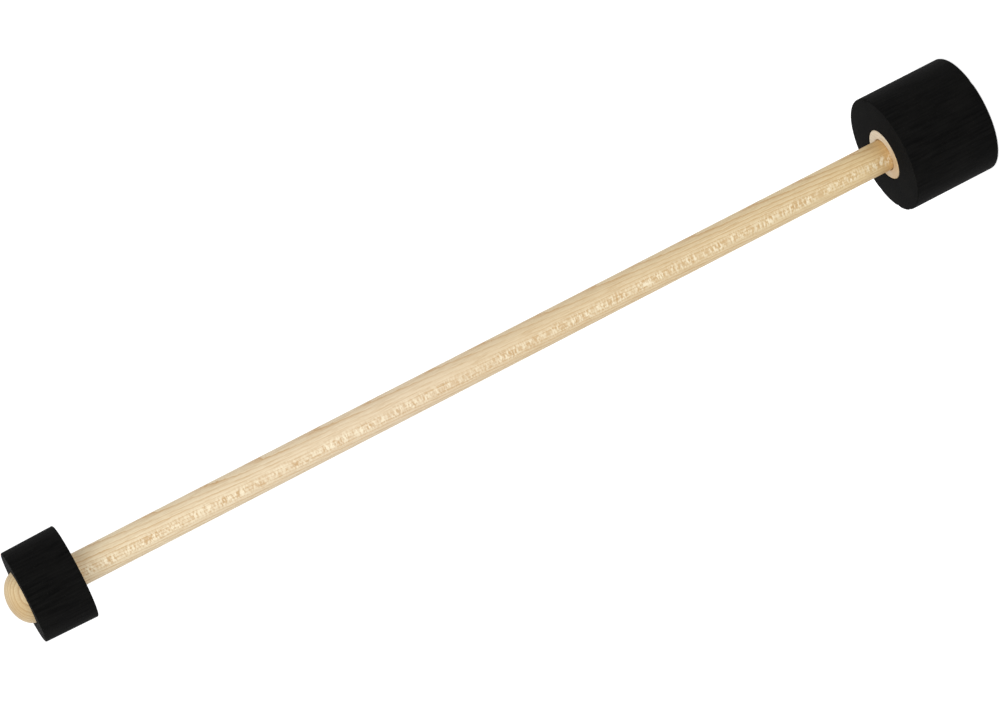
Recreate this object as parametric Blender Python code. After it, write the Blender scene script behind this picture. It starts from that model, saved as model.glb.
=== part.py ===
"""Double-ended cajon mallet: a round wooden handle with a large and a small foam head.

Each head is a foam ring glued round a turned wooden core, and each core takes one end of the handle
in a drilled blind socket. The small head's core ends in a low dome that stands out of the foam, so
that the player has a hard tip as well as two soft heads.

The mallet stands on the flat end of its large head. The origin is the centre of that end, and +Z
runs along the handle to the domed tip. Lengths are in metres and angles in radians.
"""

import math

import bmesh
import bpy

# Driving dimensions of the handle
HANDLE_DIAMETER = 0.012
HANDLE_BARE_LENGTH = 0.330  # bare wood between the two heads
HANDLE_END_CHAMFER = 0.001

# Driving dimensions of the large head
LARGE_HEAD_LENGTH = 0.035
LARGE_HEAD_DIAMETER = 0.045
LARGE_CORE_RECESS = 0.0005  # how far the core's flat end lies under the foam's end

# Driving dimensions of the small head, which was cut slightly conical
SMALL_HEAD_LENGTH = 0.020
SMALL_HEAD_HANDLE_SIDE_DIAMETER = 0.0350
SMALL_HEAD_TIP_SIDE_DIAMETER = 0.0342

# Driving dimensions of the wooden cores, which both heads share
CORE_DIAMETER = 0.0196
CORE_EDGE_CHAMFER = 0.0003
SOCKET_MOUTH_CHAMFER = 0.0004
SOCKET_END_WALL = 0.005  # wood between the drill point and the plane of the foam's outer end
DRILL_POINT_ANGLE = math.radians(118)  # included angle of a plain twist drill
DOME_HEIGHT = 0.00575  # how far the tip stands out of the foam
DOME_SPRING_DEPTH = 0.0015  # how far inside the foam the dome begins

# Driving dimensions of the foam
FOAM_EDGE_ROUNDING = 0.0005

# Clearance between pieces that are glued together: the thickness of the glue line
GLUE_GAP = 0.0003

# Fineness of the turned shapes
SIDES = 72  # a multiple of four, so that the outer box is the same on X and Y
DOME_STEPS = 10
ROUNDING_STEPS = 2

# Distance under which two points count as one
MERGE_DISTANCE = 0.000001

# Edges that turn by more than this stay sharp
SHARP_ANGLE = math.radians(35)

# Colours, as linear red, green and blue
MAPLE_COLOUR = (0.73, 0.59, 0.40)
CORE_COLOUR = (0.76, 0.63, 0.44)
FOAM_COLOUR = (0.014, 0.013, 0.013)


def principled(name, colour, roughness):
    """Makes a plain material that isn't metal."""
    material = bpy.data.materials.new(name)
    material.use_nodes = True
    shader = material.node_tree.nodes["Principled BSDF"]
    shader.inputs["Base Color"].default_value = (*colour, 1.0)
    shader.inputs["Roughness"].default_value = roughness
    shader.inputs["Metallic"].default_value = 0.0
    return material


def arc(centre_radius, centre_height, radius, start, end, steps):
    """Points of a circular arc in the half section, with angles counted from the outward direction."""
    angles = [start + (end - start) * step / steps for step in range(steps + 1)]
    return [
        (centre_radius + radius * math.cos(angle), centre_height + radius * math.sin(angle))
        for angle in angles
    ]


def turned(name, outline, material, closed=False):
    """Turns a half section round the Z axis.

    The outline holds (radius, height) points, and runs down the outside from top to bottom.
    A closed outline makes a ring, and an open one starts and ends on the axis.
    """
    section = bmesh.new()
    points = [section.verts.new((radius, 0.0, height)) for radius, height in outline]
    for upper, lower in zip(points, points[1:]):
        section.edges.new((upper, lower))
    if closed:
        section.edges.new((points[-1], points[0]))
    bmesh.ops.spin(
        section,
        geom=section.verts[:] + section.edges[:],
        cent=(0.0, 0.0, 0.0),
        axis=(0.0, 0.0, 1.0),
        angle=math.tau,
        steps=SIDES,
        use_merge=True,
    )
    bmesh.ops.remove_doubles(section, verts=section.verts[:], dist=MERGE_DISTANCE)
    bmesh.ops.recalc_face_normals(section, faces=section.faces[:])

    mesh = bpy.data.meshes.new(name)
    section.to_mesh(mesh)
    section.free()
    mesh.materials.append(material)
    mesh.shade_smooth()
    mesh.set_sharp_from_angle(angle=SHARP_ANGLE)
    piece = bpy.data.objects.new(name, mesh)
    bpy.context.scene.collection.objects.link(piece)
    return piece


def socket_depth(head_length):
    """Depth of a core's socket at its full width, from the handle side to where the drill point begins."""
    return head_length - SOCKET_END_WALL - drill_point_length()


def drill_point_length():
    """Height of the cone that the drill leaves at the bottom of a socket."""
    return socket_radius() / math.tan(DRILL_POINT_ANGLE / 2)


def socket_radius():
    """The handle's radius with the glue line round it."""
    return HANDLE_DIAMETER / 2 + GLUE_GAP


def handle(material):
    """Plain dowel whose chamfered ends stop a glue line short of the full width of their sockets."""
    radius = HANDLE_DIAMETER / 2
    low = LARGE_HEAD_LENGTH - socket_depth(LARGE_HEAD_LENGTH) + GLUE_GAP
    small_head = LARGE_HEAD_LENGTH + HANDLE_BARE_LENGTH
    length = small_head + socket_depth(SMALL_HEAD_LENGTH) - GLUE_GAP - low
    outline = [
        (0.0, length),
        (radius - HANDLE_END_CHAMFER, length),
        (radius, length - HANDLE_END_CHAMFER),
        (radius, HANDLE_END_CHAMFER),
        (radius - HANDLE_END_CHAMFER, 0.0),
        (0.0, 0.0),
    ]
    piece = turned("handle", outline, material)
    piece.location.z = low
    return piece


def domed_end():
    """Half an ellipse from the tip down to the core's full width, just inside the foam."""
    height = DOME_HEIGHT + DOME_SPRING_DEPTH
    spring = SMALL_HEAD_LENGTH - DOME_SPRING_DEPTH
    angles = [math.pi / 2 * step / DOME_STEPS for step in range(DOME_STEPS + 1)]
    return [(CORE_DIAMETER / 2 * math.sin(a), spring + height * math.cos(a)) for a in angles]


def flat_end():
    """Flat end with a small chamfer, a little below the foam so that the foam strikes first."""
    radius = CORE_DIAMETER / 2
    end = LARGE_HEAD_LENGTH - LARGE_CORE_RECESS
    return [(0.0, end), (radius - CORE_EDGE_CHAMFER, end), (radius, end - CORE_EDGE_CHAMFER)]


def core(name, head_length, far_end, material):
    """Turned core: its own far end, a plain body, a flush disc on the handle side and a drilled socket."""
    radius = CORE_DIAMETER / 2
    handle_side = [(radius, CORE_EDGE_CHAMFER), (radius - CORE_EDGE_CHAMFER, 0.0)]
    depth = socket_depth(head_length)
    socket = [
        (socket_radius() + SOCKET_MOUTH_CHAMFER, 0.0),
        (socket_radius(), SOCKET_MOUTH_CHAMFER),
        (socket_radius(), depth),
        (0.0, depth + drill_point_length()),
    ]
    return turned(name, far_end + handle_side + socket, material)


def foam_ring(name, length, handle_side_diameter, far_side_diameter, material):
    """Ring of firm foam with its outer edges just broken and its bore a glue line wider than the core."""
    bore = CORE_DIAMETER / 2 + GLUE_GAP
    far_radius = far_side_diameter / 2
    handle_radius = handle_side_diameter / 2
    rounding = min(FOAM_EDGE_ROUNDING, (min(far_radius, handle_radius) - bore) / 2, length / 3)
    top = arc(far_radius - rounding, length - rounding, rounding, math.pi / 2, 0.0, ROUNDING_STEPS)
    bottom = arc(handle_radius - rounding, rounding, rounding, 0.0, -math.pi / 2, ROUNDING_STEPS)
    outline = [(bore, length)] + top + bottom + [(bore, 0.0)]
    return turned(name, outline, material, closed=True)


def head(name, height, turned_down, pieces):
    """Groups a head's pieces under an empty that lies on the handle side of the head."""
    group = bpy.data.objects.new(name, None)
    bpy.context.scene.collection.objects.link(group)
    group.location.z = height
    group.rotation_euler.x = math.pi if turned_down else 0.0
    for piece in pieces:
        piece.parent = group
    return group


def build():
    """Makes the five pieces and puts each head on its end of the handle."""
    for old in list(bpy.data.objects):
        bpy.data.objects.remove(old, do_unlink=True)

    maple = principled("handle_wood", MAPLE_COLOUR, 0.55)
    core_wood = principled("core_wood", CORE_COLOUR, 0.5)
    foam = principled("black_foam", FOAM_COLOUR, 0.95)

    handle(maple)
    large_pieces = [
        core("large_head_core", LARGE_HEAD_LENGTH, flat_end(), core_wood),
        foam_ring("large_head_foam", LARGE_HEAD_LENGTH, LARGE_HEAD_DIAMETER, LARGE_HEAD_DIAMETER, foam),
    ]
    small_pieces = [
        core("small_head_core", SMALL_HEAD_LENGTH, domed_end(), core_wood),
        foam_ring(
            "small_head_foam",
            SMALL_HEAD_LENGTH,
            SMALL_HEAD_HANDLE_SIDE_DIAMETER,
            SMALL_HEAD_TIP_SIDE_DIAMETER,
            foam,
        ),
    ]
    head("large_head", LARGE_HEAD_LENGTH, True, large_pieces)
    head("small_head", LARGE_HEAD_LENGTH + HANDLE_BARE_LENGTH, False, small_pieces)


build()
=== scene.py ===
# %% [markdown]
# A cajon mallet, dressed for its picture.
# The imported CAD model is the frame: it says where every piece is and how large.

# %% Load the frame
import math

import bmesh
import bpy
import numpy as np
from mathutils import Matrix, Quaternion, Vector


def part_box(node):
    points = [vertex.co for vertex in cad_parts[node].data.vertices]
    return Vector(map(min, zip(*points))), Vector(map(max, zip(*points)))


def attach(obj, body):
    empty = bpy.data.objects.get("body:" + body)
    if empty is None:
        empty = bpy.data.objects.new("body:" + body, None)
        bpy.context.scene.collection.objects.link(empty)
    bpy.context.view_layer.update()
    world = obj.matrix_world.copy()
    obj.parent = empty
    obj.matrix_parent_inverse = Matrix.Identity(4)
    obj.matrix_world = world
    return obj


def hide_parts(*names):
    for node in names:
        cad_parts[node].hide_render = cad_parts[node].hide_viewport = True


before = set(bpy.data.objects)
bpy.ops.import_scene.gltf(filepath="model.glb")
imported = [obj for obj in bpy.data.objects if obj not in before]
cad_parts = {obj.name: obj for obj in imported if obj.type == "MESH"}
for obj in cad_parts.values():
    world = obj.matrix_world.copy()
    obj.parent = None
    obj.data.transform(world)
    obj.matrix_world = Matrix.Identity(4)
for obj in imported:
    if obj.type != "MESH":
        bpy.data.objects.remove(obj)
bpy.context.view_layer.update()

print("nodes in the frame:", sorted(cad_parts))

# %% [markdown]
# The sizes of the pieces are measured on the solids, so that the two can't drift apart.
# They could be written out again, but then a changed solid would leave its finish behind.
# Every piece is round about the Z axis, so a radius and two heights say most of what is needed.

# %% Sizes from the frame
def radius_of(node):
    """The largest distance of a round node from the Z axis, taken along X."""
    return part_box(node)[1][0]


def heights_of(node):
    """The lowest and highest Z of a node."""
    low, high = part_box(node)
    return low[2], high[2]


HANDLE_RADIUS = radius_of("handle")
CORE_RADIUS = radius_of("small_head_core")
LARGE_HEAD_RADIUS = radius_of("large_head_foam")
SMALL_HEAD_RADIUS = radius_of("small_head_foam")  # on the handle side, where the head is widest
handle_bottom, handle_top = heights_of("handle")
large_low, large_high = heights_of("large_head_foam")
small_low, small_high = heights_of("small_head_foam")
disc_bottom = heights_of("large_head_core")[0]
dome_top = heights_of("small_head_core")[1]
print("bare handle:", round((small_low - large_high) * 1000, 1), "mm long")

# %% [markdown]
# The camera stands at the photograph's place, a little above the mallet and more than a metre off.
# A camera could be turned with three angles, but they say little to a reader.
# Here it looks at a named point and is then rolled about its own line of sight, as a hand would do it.

# %% Camera
CAMERA_PLACE = Vector((0.0, -1.1350, 0.4571))
CAMERA_AIM = Vector((0.0006, 0.0, 0.1966))
CAMERA_ROLL = math.radians(-117.22)
CAMERA_LENS = 118.22  # millimetres, on a sensor 36 mm wide


def add_to_scene(name, data):
    """Makes an object of a mesh, camera or lamp, and links it into the scene."""
    made = bpy.data.objects.new(name, data)
    bpy.context.scene.collection.objects.link(made)
    return made


camera = add_to_scene("camera", bpy.data.cameras.new("camera"))
camera.data.lens = CAMERA_LENS
camera.location = CAMERA_PLACE
camera.rotation_mode = "QUATERNION"
level = (CAMERA_AIM - CAMERA_PLACE).to_track_quat("-Z", "Y")
camera.rotation_quaternion = level @ Quaternion((0.0, 0.0, 1.0), CAMERA_ROLL)
bpy.context.scene.camera = camera
print("camera to mallet:", round((CAMERA_AIM - CAMERA_PLACE).length, 3), "m")

# %% [markdown]
# Every piece of this mallet is turned or cut round one axis, so one surface formula makes them all.
# Blender's Spin tool or a Screw modifier would do it too.
# A grid of points worked out at once is shorter, and leaves each point free to be moved afterwards.

# %% A turned surface
SIDES = 256
MERGE_DISTANCE = 1e-7
SHARP_ANGLE = math.radians(32)


def turned(name, outline, closed=False, cut=None):
    """Carries a half section round the Z axis.

    A point at distance r from the axis and height z goes to (r cos a, r sin a, z) for every angle a.
    The outline runs down the outside. A closed outline makes a ring. The optional cut takes the grids
    of angle, radius and height, and says how much to take off the radius at each point.
    """
    radius, height = np.asarray(outline, dtype=float).T
    angle = np.arange(SIDES) * math.tau / SIDES
    angle, radius = np.meshgrid(angle, radius)
    height = np.repeat(height[:, None], SIDES, axis=1)
    if cut is not None:
        radius = radius - cut(angle, radius, height)
    points = np.stack([radius * np.cos(angle), radius * np.sin(angle), height], axis=-1)

    rows = len(outline) if closed else len(outline) - 1
    row, side = np.meshgrid(np.arange(rows), np.arange(SIDES), indexing="ij")
    lower = (row + 1) % len(outline)
    beside = (side + 1) % SIDES
    corners = [row * SIDES + side, lower * SIDES + side, lower * SIDES + beside, row * SIDES + beside]
    faces = np.stack(corners, axis=-1).reshape(-1, 4)

    mesh = bpy.data.meshes.new(name)
    mesh.from_pydata(points.reshape(-1, 3).tolist(), [], faces.tolist())
    close_poles(mesh)
    mesh.shade_smooth()
    mesh.set_sharp_from_angle(angle=SHARP_ANGLE)
    print(name, "has", len(mesh.polygons), "faces")
    return add_to_scene(name, mesh)


def close_poles(mesh):
    """Merges the points that meet on the axis, and turns every face outwards."""
    closing = bmesh.new()
    closing.from_mesh(mesh)
    bmesh.ops.remove_doubles(closing, verts=closing.verts[:], dist=MERGE_DISTANCE)
    bmesh.ops.recalc_face_normals(closing, faces=closing.faces[:])
    closing.to_mesh(mesh)
    closing.free()


# %% [markdown]
# A finished piece has to take the place of its plain solid, carry its finish and move with its body.
# That could be written out for each piece, but the four steps are always the same.
# The mallet is glued up and has one body, so every piece rides on the root.

# %% Standing for a solid
def stand_for(piece, node, material):
    """Puts a finished piece in the place of its CAD node, on the one body of the mallet."""
    piece.data.materials.append(material)
    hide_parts(node)
    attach(piece, "root")
    print(piece.name, "stands for", node)


# %% [markdown]
# Materials are small networks of nodes, and the same few moves return in each.
# They could be wired by hand in the shader editor, but a list of steps in code is easier to repeat.
# These helpers turn a screen colour into light, and fill a socket with a link or with a value.

# %% Colours and sockets
def srgb(red, green, blue):
    """Turns a colour as a screen shows it, from 0 to 255, into the linear colour that light uses."""
    shown = np.array([red, green, blue]) / 255.0
    linear = np.where(shown <= 0.04045, shown / 12.92, ((shown + 0.055) / 1.055) ** 2.4)
    return (*linear.tolist(), 1.0)


def grey(value):
    """A grey of that strength, for ramps that steer a factor."""
    return (value, value, value, 1.0)


def fill(material, socket, value):
    """Links a socket to another node's output, or gives it a plain value."""
    if isinstance(value, bpy.types.NodeSocket):
        material.node_tree.links.new(value, socket)
    else:
        socket.default_value = value


def plain_material(name):
    """A material with its shader, and the Object coordinates that its patterns read."""
    material = bpy.data.materials.new(name)
    material.use_nodes = True
    shader = material.node_tree.nodes["Principled BSDF"]
    place = material.node_tree.nodes.new("ShaderNodeTexCoord").outputs["Object"]
    return material, shader, place


# %% [markdown]
# Arithmetic, colour ramps and mixes join the patterns to each other.
# Each helper adds one node and hands back what the node gives, so a recipe reads line by line.
# A ramp serves twice: it colours a pattern, and it sets how sharply a pattern begins and ends.

# %% Arithmetic, ramps and mixes
def arithmetic(material, operation, first, second=0.0):
    """One step of arithmetic on two values."""
    node = material.node_tree.nodes.new("ShaderNodeMath")
    node.operation = operation
    fill(material, node.inputs[0], first)
    fill(material, node.inputs[1], second)
    return node.outputs[0]


def split(material, place):
    """The three numbers of a position."""
    node = material.node_tree.nodes.new("ShaderNodeSeparateXYZ")
    fill(material, node.inputs[0], place)
    return node.outputs


def ramp(material, factor, stops):
    """A colour ramp with (position, colour) stops."""
    node = material.node_tree.nodes.new("ShaderNodeValToRGB")
    fill(material, node.inputs["Fac"], factor)
    elements = node.color_ramp.elements
    while len(elements) < len(stops):
        elements.new(1.0)
    for element, (position, colour) in zip(elements, stops):
        element.position = position
        element.color = colour
    return node.outputs["Color"]


def mix(material, factor, first, second, blend="MIX"):
    """Mixes two colours."""
    node = material.node_tree.nodes.new("ShaderNodeMix")
    node.data_type = "RGBA"
    node.blend_type = blend
    fill(material, node.inputs["Factor"], factor)
    colours = [socket for socket in node.inputs if socket.type == "RGBA"]
    fill(material, colours[0], first)
    fill(material, colours[1], second)
    return [socket for socket in node.outputs if socket.type == "RGBA"][0]


# %% [markdown]
# All patterns read Object coordinates, which are metres here, so each one is given its real size.
# Noise that is stretched far along one axis becomes fibre, and noise of one size becomes cells.
# A ring layer is the share of the way from one year's line to the next, counted through the solid.

# %% Patterns in the solid
def stretched(material, place, size, turn=(0.0, 0.0, 0.0)):
    """Turns the coordinates, then measures them in units of the given size on each axis."""
    turning = material.node_tree.nodes.new("ShaderNodeMapping")
    fill(material, turning.inputs["Vector"], place)
    turning.inputs["Rotation"].default_value = turn
    scaling = material.node_tree.nodes.new("ShaderNodeMapping")
    fill(material, scaling.inputs["Vector"], turning.outputs[0])
    scaling.inputs["Scale"].default_value = [1.0 / length for length in size]
    return scaling.outputs[0]


def noise(material, place, detail=2.0, roughness=0.5):
    """Smooth noise, from 0 to 1, whose lumps are about one unit across."""
    node = material.node_tree.nodes.new("ShaderNodeTexNoise")
    fill(material, node.inputs["Vector"], place)
    node.inputs["Scale"].default_value = 1.0
    node.inputs["Detail"].default_value = detail
    node.inputs["Roughness"].default_value = roughness
    return node.outputs["Fac"]


def bending(material, place, amount, detail=2.0):
    """How far a layer strays to either side: noise about nought, times the amount."""
    centred = arithmetic(material, "SUBTRACT", noise(material, place, detail=detail), 0.5)
    return arithmetic(material, "MULTIPLY", centred, amount * 2.0)


def season(material, depth, spacing):
    """The share of a year's layer that is passed at a depth: depth over spacing, less the whole years."""
    return arithmetic(material, "FRACT", arithmetic(material, "DIVIDE", depth, spacing))


def raise_surface(material, shader, height, depth, strength):
    """Makes small relief from a height between 0 and 1."""
    node = material.node_tree.nodes.new("ShaderNodeBump")
    node.inputs["Strength"].default_value = strength
    node.inputs["Distance"].default_value = depth
    fill(material, node.inputs["Height"], height)
    fill(material, shader.inputs["Normal"], node.outputs["Normal"])


# %% [markdown]
# The handle is a maple dowel. Its yearly rings are layers that lie at a few degrees to its axis.
# A saw or lathe cuts through them, so thin brown lines enter at one side and run out slowly.
# Painted stripes would break at the silhouette, so the layers are worked out in the solid, and the
# surface only cuts through them. Two bendings, one long and one short, keep the lines from being ruled.

# %% Rings of the maple
RING_SPACING = 0.0012
RING_TILT = 0.054  # rise of a layer along the axis
GRAIN_TURN = (0.0, 0.0, math.radians(19.3))  # brings the layers' normal onto X
LONG_BEND = 0.0007
LONG_BEND_SIZE = (0.006, 0.006, 0.050)
SHORT_BEND = 0.00022  # the short squiggles that cross the long waves
SHORT_BEND_SIZE = (0.0016, 0.0016, 0.0022)
YEAR_SIZE = (0.0017, 0.02, 0.16)  # how far a strong or weak year reaches

maple, maple_shader, maple_place = plain_material("maple_dowel")
grain_place = stretched(maple, maple_place, (1.0, 1.0, 1.0), GRAIN_TURN)
across, toward_rays, along = split(maple, grain_place)

long_bend = bending(maple, stretched(maple, maple_place, LONG_BEND_SIZE, GRAIN_TURN), LONG_BEND)
short_bend = bending(maple, stretched(maple, maple_place, SHORT_BEND_SIZE), SHORT_BEND, detail=1.0)
tilted = arithmetic(maple, "SUBTRACT", across, arithmetic(maple, "MULTIPLY", along, RING_TILT))
bent = arithmetic(maple, "ADD", tilted, arithmetic(maple, "ADD", long_bend, short_bend))
maple_line = ramp(maple, season(maple, bent, RING_SPACING), [
    (0.0, grey(0.0)), (0.55, grey(0.10)), (0.86, grey(0.55)), (0.93, grey(1.0)), (1.0, grey(0.0)),
])
year = noise(maple, stretched(maple, grain_place, YEAR_SIZE), detail=0.0)
year_strength = ramp(maple, year, [(0.3, grey(0.35)), (0.7, grey(1.0))])
maple_line = arithmetic(maple, "MULTIPLY", maple_line, year_strength)
print("a new ring line every", round(RING_SPACING / RING_TILT * 1000), "mm along the handle")

# %% [markdown]
# The bare wood isn't one colour from end to end. It is greyer near the small head and yellower towards the
# large one.
# Its last few millimetres before the large head are browner, partly a stain and partly painted shade from
# that head.
# A ramp along the axis gives that, and fine fibre, long along the grain, breaks it up.

# %% Colour of the maple
FIBRE_SIZE = (0.0005, 0.0004, 0.007)
FIBRE_SHARE = 0.5

bare_height = arithmetic(maple, "SUBTRACT", along, large_high)
height_share = arithmetic(maple, "DIVIDE", bare_height, small_low - large_high)
# Painted shade: the browner first stops, where the handle enters the large head, are partly a stain and
# partly shade painted into the colour.
tone_and_painted_shade_along = ramp(maple, height_share, [
    (0.0, srgb(208, 170, 112)), (0.022, srgb(227, 202, 154)), (0.10, srgb(223, 203, 163)),
    (0.45, srgb(222, 202, 167)), (0.62, srgb(228, 210, 181)), (1.0, srgb(230, 214, 182)),
])
maple_fibre = noise(maple, stretched(maple, grain_place, FIBRE_SIZE), detail=3.0, roughness=0.65)
fibre_tint = ramp(maple, maple_fibre, [
    (0.30, srgb(206, 182, 144)), (0.5, srgb(246, 242, 234)), (0.7, grey(1.0)),
])
maple_colour = mix(maple, FIBRE_SHARE, tone_and_painted_shade_along, fibre_tint, "MULTIPLY")
maple_colour = mix(maple, maple_line, maple_colour, srgb(190, 148, 94))
print("colour runs from height", round(large_high, 3), "to", round(small_low, 3))

# %% [markdown]
# Rays are thin ribbons that run from the heart of the tree outwards. Where the surface lies along
# them they show as flecks, which is the narrow lively band below the middle of the handle.
# The flecks are noise in the shape of such ribbons, kept to the two sides that face along the rings.

# %% Ray flecks and the finish of the maple
RAY_SIZE = (0.0017, 0.00080, 0.0007)
FLECK_GROUP_SIZE = (0.004, 0.004, 0.004)
MAPLE_SPECULAR = 0.35
MAPLE_RELIEF = 0.00004
MAPLE_RELIEF_STRENGTH = 0.35

ray = noise(maple, stretched(maple, grain_place, RAY_SIZE), detail=1.0)
group = noise(maple, stretched(maple, grain_place, FLECK_GROUP_SIZE))
group = ramp(maple, group, [(0.35, grey(0.35)), (0.6, grey(1.0))])
facing = arithmetic(maple, "DIVIDE", arithmetic(maple, "ABSOLUTE", toward_rays), HANDLE_RADIUS)
fleck_band = ramp(maple, facing, [(0.90, grey(0.05)), (0.965, grey(0.45)), (0.995, grey(1.0))])
fleck_band = arithmetic(maple, "MULTIPLY", fleck_band, group)
pale_ray = ramp(maple, ray, [(0.50, grey(0.0)), (0.60, grey(0.70))])
pale_ray = arithmetic(maple, "MULTIPLY", pale_ray, fleck_band)
dark_ray = ramp(maple, ray, [(0.36, grey(0.70)), (0.46, grey(0.0))])
dark_ray = arithmetic(maple, "MULTIPLY", dark_ray, fleck_band)
maple_colour = mix(maple, pale_ray, maple_colour, srgb(246, 236, 208))
maple_colour = mix(maple, dark_ray, maple_colour, srgb(190, 150, 98))

fill(maple, maple_shader.inputs["Base Color"], maple_colour)
maple_shader.inputs["Specular IOR Level"].default_value = MAPLE_SPECULAR
maple_gloss = ramp(maple, maple_fibre, [(0.2, grey(0.58)), (0.8, grey(0.44))])
fill(maple, maple_shader.inputs["Roughness"], maple_gloss)
raise_surface(maple, maple_shader, maple_fibre, MAPLE_RELIEF, MAPLE_RELIEF_STRENGTH)
print("the maple has", len(maple.node_tree.nodes), "nodes")

# %% [markdown]
# The two cores are turned from other pale stock, whose rings run nearly flat through such short pieces.
# The dome therefore shows curved lines, one inside the other, and the flush disc straight ones.
# One recipe serves both: flat layers in the solid, facing a direction that is chosen for each core.

# %% Wood for the cores
CORE_BEND_SIZE = (0.008, 0.008, 0.008)
CORE_FIBRE_SIZE = (0.0004, 0.0004, 0.004)
CORE_TONE_SIZE = (0.009, 0.009, 0.009)
CORE_FIBRE_SHARE = 0.5
CORE_SPECULAR = 0.4
CORE_RELIEF = 0.00003
CORE_RELIEF_STRENGTH = 0.3


def core_wood(name, layer_turn, spacing, bend, pale, brown, line, line_strength, painted_shade_per_metre=0.0):
    """Pale turned wood with flat ring layers whose normal the turn brings onto X.

    The last argument is painted shade: how much browner the wood is painted for each metre towards minus X.
    """
    material, shader, place = plain_material(name)
    lying = stretched(material, place, (1.0, 1.0, 1.0), layer_turn)
    stray = bending(material, stretched(material, place, CORE_BEND_SIZE), bend)
    depth = arithmetic(material, "ADD", split(material, lying)[0], stray)
    late = ramp(material, season(material, depth, spacing), [
        (0.0, grey(0.0)), (0.6, grey(0.3)), (0.9, grey(1.0)), (1.0, grey(0.0)),
    ])
    late = arithmetic(material, "MULTIPLY", late, line_strength)

    tone = noise(material, stretched(material, place, CORE_TONE_SIZE), detail=1.0)
    # Painted shade: the wood is painted paler towards plus X and browner towards minus X.
    painted_shading = arithmetic(material, "MULTIPLY", split(material, place)[0], painted_shade_per_metre)
    tone = arithmetic(material, "SUBTRACT", tone, painted_shading)
    colour = mix(material, ramp(material, tone, [(0.35, grey(0.0)), (0.65, grey(1.0))]), pale, brown)
    fibre = noise(material, stretched(material, lying, CORE_FIBRE_SIZE), detail=3.0, roughness=0.6)
    tint = ramp(material, fibre, [(0.3, srgb(226, 214, 194)), (0.7, grey(1.0))])
    colour = mix(material, CORE_FIBRE_SHARE, colour, tint, "MULTIPLY")
    colour = mix(material, late, colour, line)

    fill(material, shader.inputs["Base Color"], colour)
    shader.inputs["Specular IOR Level"].default_value = CORE_SPECULAR
    fill(material, shader.inputs["Roughness"], ramp(material, fibre, [(0.2, grey(0.52)), (0.8, grey(0.38))]))
    raise_surface(material, shader, fibre, CORE_RELIEF, CORE_RELIEF_STRENGTH)
    print(name, "has", len(material.node_tree.nodes), "nodes")
    return material


dome_wood = core_wood(
    "domed_core_wood",
    layer_turn=(0.0, 0.0, math.radians(90)),
    spacing=0.0013,
    bend=0.0005,
    pale=srgb(228, 206, 162),
    brown=srgb(210, 184, 138),
    line=srgb(184, 148, 100),
    line_strength=0.85,
)
disc_wood = core_wood(
    "flush_core_wood",
    layer_turn=(0.0, 0.0, math.radians(35)),
    spacing=0.0016,
    bend=0.0004,
    pale=srgb(234, 220, 196),
    brown=srgb(212, 184, 142),
    line=srgb(206, 178, 140),
    line_strength=0.45,
    # The flush disc gets painted shade, browner towards minus X.
    painted_shade_per_metre=32.0,
)

# %% [markdown]
# The heads are closed-cell foam rubber, cut with a sharp tube and blade: nearly black and matt.
# The blade leaves fine lines along the axis, and broken cells that show as specks.
# At a flat angle the surface turns grey, which the sheen of the shader gives without painting any light.

# %% Black foam
STREAK_SIZE = (0.0007, 0.0007, 0.012)
CELL_SIZE = (0.00035, 0.00035, 0.00035)
WORN_SIZE = (0.008, 0.008, 0.012)
DEEP_BLACK = (0.0008, 0.0008, 0.0008, 1.0)
STREAK_BLACK = (0.0050, 0.0049, 0.0046, 1.0)
SPECK_GREY = (0.020, 0.019, 0.018, 1.0)
WORN_GREY = (0.0080, 0.0078, 0.0070, 1.0)
FOAM_SPECULAR = 0.06
FOAM_SHEEN = 0.008
FOAM_SHEEN_ROUGHNESS = 0.35
STREAK_RELIEF_SHARE = 0.6
FOAM_RELIEF = 0.00012
FOAM_RELIEF_STRENGTH = 0.6

foam, foam_shader, foam_place = plain_material("cut_black_foam")
streak = noise(foam, stretched(foam, foam_place, STREAK_SIZE), detail=3.0, roughness=0.6)
cell = noise(foam, stretched(foam, foam_place, CELL_SIZE), detail=2.0, roughness=0.6)
worn = noise(foam, stretched(foam, foam_place, WORN_SIZE))
foam_colour = ramp(foam, streak, [(0.32, DEEP_BLACK), (0.70, STREAK_BLACK)])
speck = ramp(foam, cell, [(0.66, grey(0.0)), (0.78, grey(0.8))])
foam_colour = mix(foam, speck, foam_colour, SPECK_GREY)
worn_share = ramp(foam, worn, [(0.45, grey(0.0)), (0.75, grey(0.35))])
foam_colour = mix(foam, worn_share, foam_colour, WORN_GREY)

fill(foam, foam_shader.inputs["Base Color"], foam_colour)
fill(foam, foam_shader.inputs["Roughness"], ramp(foam, cell, [(0.3, grey(0.95)), (0.7, grey(0.8))]))
foam_shader.inputs["Specular IOR Level"].default_value = FOAM_SPECULAR
foam_shader.inputs["Sheen Weight"].default_value = FOAM_SHEEN
foam_shader.inputs["Sheen Roughness"].default_value = FOAM_SHEEN_ROUGHNESS
streak_relief = arithmetic(foam, "MULTIPLY", streak, STREAK_RELIEF_SHARE)
cell_relief = arithmetic(foam, "MULTIPLY", cell, 1.0 - STREAK_RELIEF_SHARE)
relief = arithmetic(foam, "ADD", streak_relief, cell_relief)
raise_surface(foam, foam_shader, relief, FOAM_RELIEF, FOAM_RELIEF_STRENGTH)
print("the foam has", len(foam.node_tree.nodes), "nodes")

# %% [markdown]
# The handle is a plain dowel with broken ends that sit inside the heads.
# It could be a cylinder with a bevel, but the outline says at once where each edge is.
# The chamfers keep the ends from scraping glue off the walls of their sockets.

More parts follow.
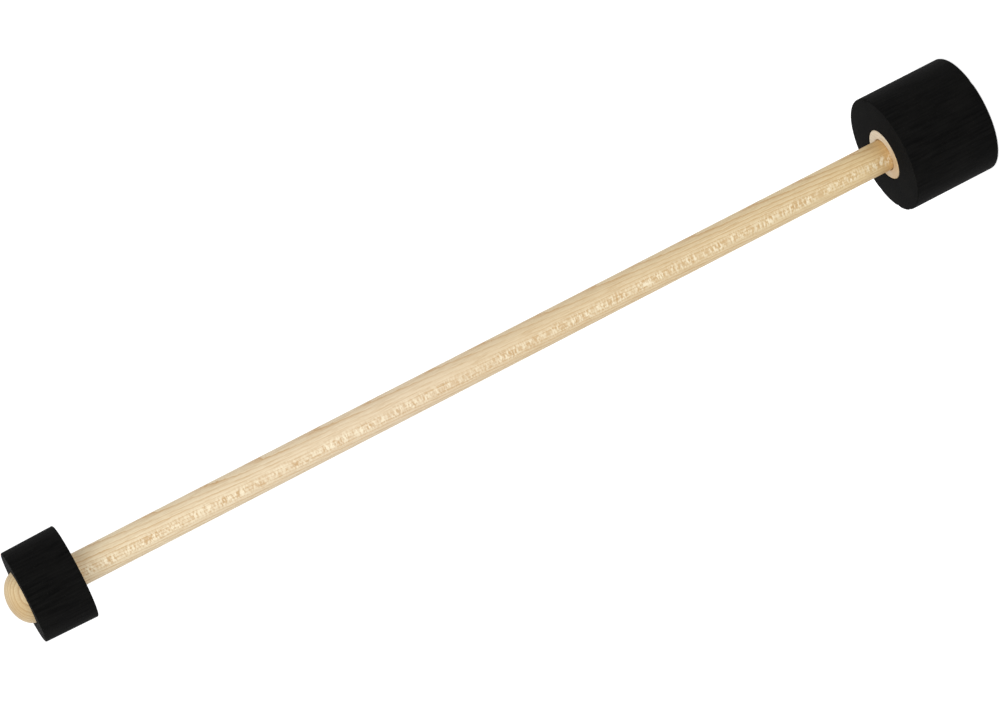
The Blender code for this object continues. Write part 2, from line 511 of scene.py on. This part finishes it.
# %% Handle
END_CHAMFER = 0.001
handle_outline = [
    (0.0, handle_top),
    (HANDLE_RADIUS - END_CHAMFER, handle_top),
    (HANDLE_RADIUS, handle_top - END_CHAMFER),
    (HANDLE_RADIUS, handle_bottom + END_CHAMFER),
    (HANDLE_RADIUS - END_CHAMFER, handle_bottom),
    (0.0, handle_bottom),
]
stand_for(turned("maple_handle", handle_outline), "handle", maple)
print("handle from", round(handle_bottom, 4), "to", round(handle_top, 4))

# %% [markdown]
# Each core is a short turned plug with a drilled blind socket that holds the handle's end.
# Boolean cuts would drill it too, but they leave ragged edges, and the outline can simply turn inwards.
# In the photograph only a hairline shows round the handle, so the gap is narrower here than in the solids.

# %% Sockets of the cores
CORE_EDGE = 0.0003
SOCKET_GAP = 0.0002
SOCKET_RADIUS = HANDLE_RADIUS + SOCKET_GAP
SOCKET_MOUTH = 0.0002
SOCKET_END_WALL = 0.005  # from the drill point to the plane of the foam's outer end
DRILL_ANGLE = math.radians(118)
DRILL_POINT = SOCKET_RADIUS / math.tan(DRILL_ANGLE / 2)


def socket_outline(mouth, end):
    """Half section of the socket, from its mouth to the drill point, towards the end given."""
    way = 1.0 if end > mouth else -1.0
    return [
        (SOCKET_RADIUS + SOCKET_MOUTH, mouth),
        (SOCKET_RADIUS, mouth + way * SOCKET_MOUTH),
        (SOCKET_RADIUS, end - way * (SOCKET_END_WALL + DRILL_POINT)),
        (0.0, end - way * SOCKET_END_WALL),
    ]


print("drill point:", round(DRILL_POINT * 1000, 2), "mm high")

# %% [markdown]
# The small head's core ends in a low dome, which is the hard tip of the mallet.
# A part of a ball would meet the foam at an angle. Half an ellipse comes down to the core's full
# width upright, as a turner leaves it, and it springs a little inside the foam.

# %% Domed core
DOME_SPRING_DEPTH = 0.0015  # how far inside the foam the dome begins
DOME_POINTS = 33
spring = small_high - DOME_SPRING_DEPTH
slope = np.linspace(0.0, math.pi / 2, DOME_POINTS)
dome = np.stack([CORE_RADIUS * np.sin(slope), spring + (dome_top - spring) * np.cos(slope)], axis=-1)
small_core_outline = [
    *dome,
    (CORE_RADIUS, small_low + CORE_EDGE),
    (CORE_RADIUS - CORE_EDGE, small_low),
    *socket_outline(small_low, small_high),
]
stand_for(turned("domed_core", small_core_outline), "small_head_core", dome_wood)
print("dome stands out by", round((dome_top - small_high) * 1000, 2), "mm")

# %% [markdown]
# The large head's core shows as a flush disc round the handle.
# Its other end is out of sight in the photograph, and is taken to be cut flat.
# It lies a little under the foam there, so that the foam strikes first.

# %% Flush core
large_core_outline = [
    *socket_outline(large_high, large_low)[::-1],
    (CORE_RADIUS - CORE_EDGE, large_high),
    (CORE_RADIUS, large_high - CORE_EDGE),
    (CORE_RADIUS, disc_bottom + CORE_EDGE),
    (CORE_RADIUS - CORE_EDGE, disc_bottom),
    (0.0, disc_bottom),
]
stand_for(turned("flush_core", large_core_outline), "large_head_core", disc_wood)
print("its flat end lies", round((disc_bottom - large_low) * 1000, 2), "mm under the foam")

# %% [markdown]
# The foam rings are cut, not moulded, so their edges are crisp but never perfect.
# A bevelled cylinder would look like plastic. Here the radius gives way a little at each point:
# a slow wobble round the ring, and a few small nicks where the blade left the edge.

# %% Wear of the foam
GLUE_GAP = 0.0003
FOAM_BORE = CORE_RADIUS + GLUE_GAP
UNTOUCHED_RIM = 0.0005  # foam nearer to the bore than this is left as it is
WOBBLE = 0.00012
WOBBLE_COUNTS = (2, 5, 9)  # waves round the ring
NICKS = 14
NICK_DEPTH = 0.00035
NICK_REACH = 0.0009
SMALLEST_NICK = 0.3  # share of the full depth
NICK_RADIUS = 0.02  # turns an angle into a distance round the ring


def worn_cut(low, high, seed):
    """How much a blade and use took off the radius.

    A slow wobble is the mean of three waves round the ring. A nick is a bell-shaped dip in angle
    and in height beside an edge. Nothing is taken off the bore.
    """
    chance = np.random.default_rng(seed)
    phases = chance.uniform(0.0, math.tau, len(WOBBLE_COUNTS))
    nick_angles = chance.uniform(-math.pi, math.pi, NICKS)
    nick_heights = np.where(chance.random(NICKS) < 0.5, low, high)
    nick_sizes = chance.uniform(SMALLEST_NICK, 1.0, NICKS)

    def cut(angle, radius, height):
        waves = [0.5 + 0.5 * np.sin(count * angle + phase) for count, phase in zip(WOBBLE_COUNTS, phases)]
        off_angle = (angle[..., None] - nick_angles + math.pi) % math.tau - math.pi
        round_ring = off_angle * NICK_RADIUS / NICK_REACH
        from_edge = (height[..., None] - nick_heights) / NICK_REACH
        bell = np.exp(-(round_ring ** 2) - from_edge ** 2)
        taken = WOBBLE * sum(waves) / len(waves) + NICK_DEPTH * (bell * nick_sizes).sum(axis=-1)
        return np.where(radius > FOAM_BORE + UNTOUCHED_RIM, taken, 0.0)

    return cut


print(NICKS, "nicks to a ring, up to", NICK_DEPTH * 1000, "mm deep")

# %% [markdown]
# A ring is a straight outer wall between two small round edges, flat ends, and a plain bore.
# The wall has many rows of points, so that the wobble and the nicks have something to move.
# The foam is firm and keeps the shape it was cut to.

# %% Foam rings
FOAM_EDGE = 0.0005
EDGE_STEPS = 5
WALL_POINTS = 50
SMALL_HEAD_TAPER = 0.0004  # how much the radius shrinks towards the tip


def edge(radius, height, start, end):
    """A rounded edge about a centre in the half section, its angles counted from the outward direction."""
    angle = np.linspace(start, end, EDGE_STEPS + 1)
    return np.stack([radius + FOAM_EDGE * np.cos(angle), height + FOAM_EDGE * np.sin(angle)], axis=-1)


def foam_ring(name, node, low, high, low_radius, high_radius, seed):
    """A worn ring of foam between two heights, with a radius for each end."""
    top = edge(high_radius - FOAM_EDGE, high - FOAM_EDGE, math.pi / 2, 0.0)
    wall = np.linspace((high_radius, high - FOAM_EDGE), (low_radius, low + FOAM_EDGE), WALL_POINTS)[1:-1]
    bottom = edge(low_radius - FOAM_EDGE, low + FOAM_EDGE, 0.0, -math.pi / 2)
    outline = [(FOAM_BORE, high), *top, *wall, *bottom, (FOAM_BORE, low)]
    ring = turned(name, outline, closed=True, cut=worn_cut(low, high, seed))
    stand_for(ring, node, foam)


foam_ring(
    "small_foam_ring", "small_head_foam", small_low, small_high,
    SMALL_HEAD_RADIUS, SMALL_HEAD_RADIUS - SMALL_HEAD_TAPER, seed=4,
)
foam_ring(
    "large_foam_ring", "large_head_foam", large_low, large_high,
    LARGE_HEAD_RADIUS, LARGE_HEAD_RADIUS, seed=9,
)

# %% [markdown]
# The floor is a wide pale sheet on which the mallet stands, and it is all that the camera sees behind.
# The picture's white comes from a glow that only the camera and reflections see, not from more light.
# The floor still takes the mallet's shadow, because the rest of its colour is an ordinary matt one.

# %% Floor
FLOOR_REACH = 30.0
FLOOR_DROP = 0.0002  # keeps the floor clear of the foam that stands on it
FLOOR_COLOUR = (0.8, 0.8, 0.8, 1.0)
FLOOR_GLOW = 0.60
WHITE = (1.0, 1.0, 1.0, 1.0)

floor_mesh = bpy.data.meshes.new("floor")
floor_corners = np.array([(-1, -1, 0), (1, -1, 0), (1, 1, 0), (-1, 1, 0)]) * FLOOR_REACH
floor_corners = floor_corners - (0.0, 0.0, FLOOR_DROP)
floor_mesh.from_pydata(floor_corners.tolist(), [], [(0, 1, 2, 3)])
floor = add_to_scene("floor", floor_mesh)


def seen_directly(material):
    """One for camera, glossy and transmission rays, and nought for the rays that carry light."""
    path = material.node_tree.nodes.new("ShaderNodeLightPath").outputs
    seen = arithmetic(material, "MAXIMUM", path["Is Camera Ray"], path["Is Glossy Ray"])
    return arithmetic(material, "MAXIMUM", seen, path["Is Transmission Ray"])


floor_paint = bpy.data.materials.new("pale_floor")
floor_paint.use_nodes = True
floor_shader = floor_paint.node_tree.nodes["Principled BSDF"]
floor_shader.inputs["Base Color"].default_value = FLOOR_COLOUR
floor_shader.inputs["Roughness"].default_value = 1.0
floor_shader.inputs["Specular IOR Level"].default_value = 0.0
floor_shader.inputs["Emission Color"].default_value = WHITE
glow = arithmetic(floor_paint, "MULTIPLY", seen_directly(floor_paint), FLOOR_GLOW)
fill(floor_paint, floor_shader.inputs["Emission Strength"], glow)
floor_mesh.materials.append(floor_paint)
print("the floor reaches", FLOOR_REACH, "m each way")

# %% [markdown]
# A product photograph is lit from a large tent, with one softbox a little stronger than the rest.
# The world gives the tent. One wide lamp above and behind the camera models the round pieces,
# and a weak one low to its left keeps the handle's lower edge in the picture as pale as its middle.

# %% Light
TENT_STRENGTH = 0.70

world = bpy.data.worlds.new("tent")
bpy.context.scene.world = world
world.use_nodes = True
background = world.node_tree.nodes["Background"]
background.inputs["Color"].default_value = WHITE
extra = arithmetic(world, "MULTIPLY", seen_directly(world), 1.0 - TENT_STRENGTH)
fill(world, background.inputs["Strength"], arithmetic(world, "ADD", extra, TENT_STRENGTH))


def softbox(name, place, width, power):
    """A square lamp that looks at the middle of the mallet."""
    lamp = add_to_scene(name, bpy.data.lights.new(name, "AREA"))
    lamp.data.size = width
    lamp.data.energy = power
    lamp.location = place
    lamp.rotation_euler = (CAMERA_AIM - Vector(place)).to_track_quat("-Z", "Y").to_euler()
    print(name, "gives", power, "W")


softbox("key_softbox", place=(0.25, -1.6, 1.3), width=1.4, power=15.0)
softbox("low_softbox", place=(-1.2, -1.2, 0.5), width=1.0, power=5.0)

# %% [markdown]
# The picture is shown with the plain Standard view, so that a colour appears as it was written.
# The dressed pieces should agree with the box of the CAD model within a fraction of a millimetre, because
# nothing here stands proud.

# %% Finish
bpy.context.scene.view_settings.view_transform = "Standard"
